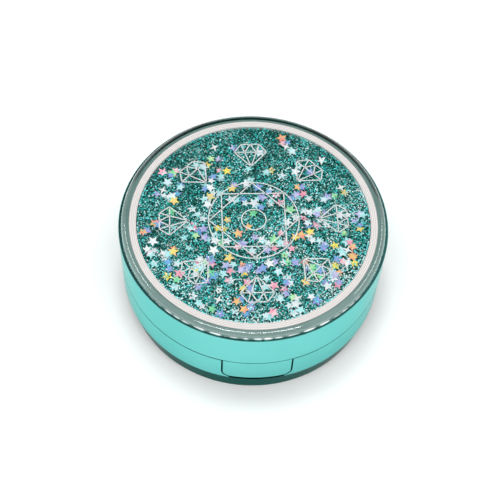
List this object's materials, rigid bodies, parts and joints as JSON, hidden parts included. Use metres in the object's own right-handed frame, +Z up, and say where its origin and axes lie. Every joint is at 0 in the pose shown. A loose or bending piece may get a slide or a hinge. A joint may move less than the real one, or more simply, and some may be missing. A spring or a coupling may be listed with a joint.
{
  "type": "travel pill case",
  "caption": "Round hinged pocket case with a push-button catch, a divided pill tray, a mirror in the lid and a clear lid capsule of liquid glitter.",
  "frame": {"origin": "middle of the underside, on the table", "axes": "+Z up, -Y to the push-button in front, +Y to the hinge"},
  "size_m": [0.072, 0.072, 0.0302],
  "materials": {
    "mint_plate": "mint metallic plating",
    "white_plastic": "gloss",
    "pale_plastic": "satin",
    "tray_plastic": "satin",
    "steel": "drawn",
    "mirror_glass": "silvered",
    "tape": "matte",
    "clear_plastic": "clear, polished",
    "liquid": "clear",
    "teal_glitter": "coarse glitter",
    "silver_print": "silver foil",
    "sequin_foil": "iridescent foil"
  },
  "bodies": {
    "base": {"base_shell": "mint_plate", "base_liner": "white_plastic", "pill_tray": "tray_plastic", "tray_divider": "tray_plastic", "hinge_pin": "steel", "button_springs": "steel"},
    "lid": {"lid_shell": "mint_plate", "lid_liner": "white_plastic", "mirror": "mirror_glass", "mirror_tape": "tape", "capsule_tape": "tape", "back_plate": "clear_plastic", "fill_plug": "pale_plastic", "glitter_film": "teal_glitter", "line_print": "silver_print", "star_sequins": "sequin_foil", "glitter_fluid": "liquid", "spacer_ring": "pale_plastic", "clear_cover": "clear_plastic"},
    "button": {"push_button": "mint_plate"}
  },
  "joints": [
    {"name": "lid_hinge", "type": "hinge", "parent": "base", "child": "lid", "pos_m": [0, 0.0342, 0.0126], "axis": [-1, 0, 0], "range_deg": [0, 110]},
    {"name": "button_press", "type": "slide", "parent": "base", "child": "button", "axis": [0, 1, 0], "range_m": [0, 0.0012], "stiffness_N_per_m": 600, "springref_m": -0.001, "deforming": ["button_springs"]}
  ]
}
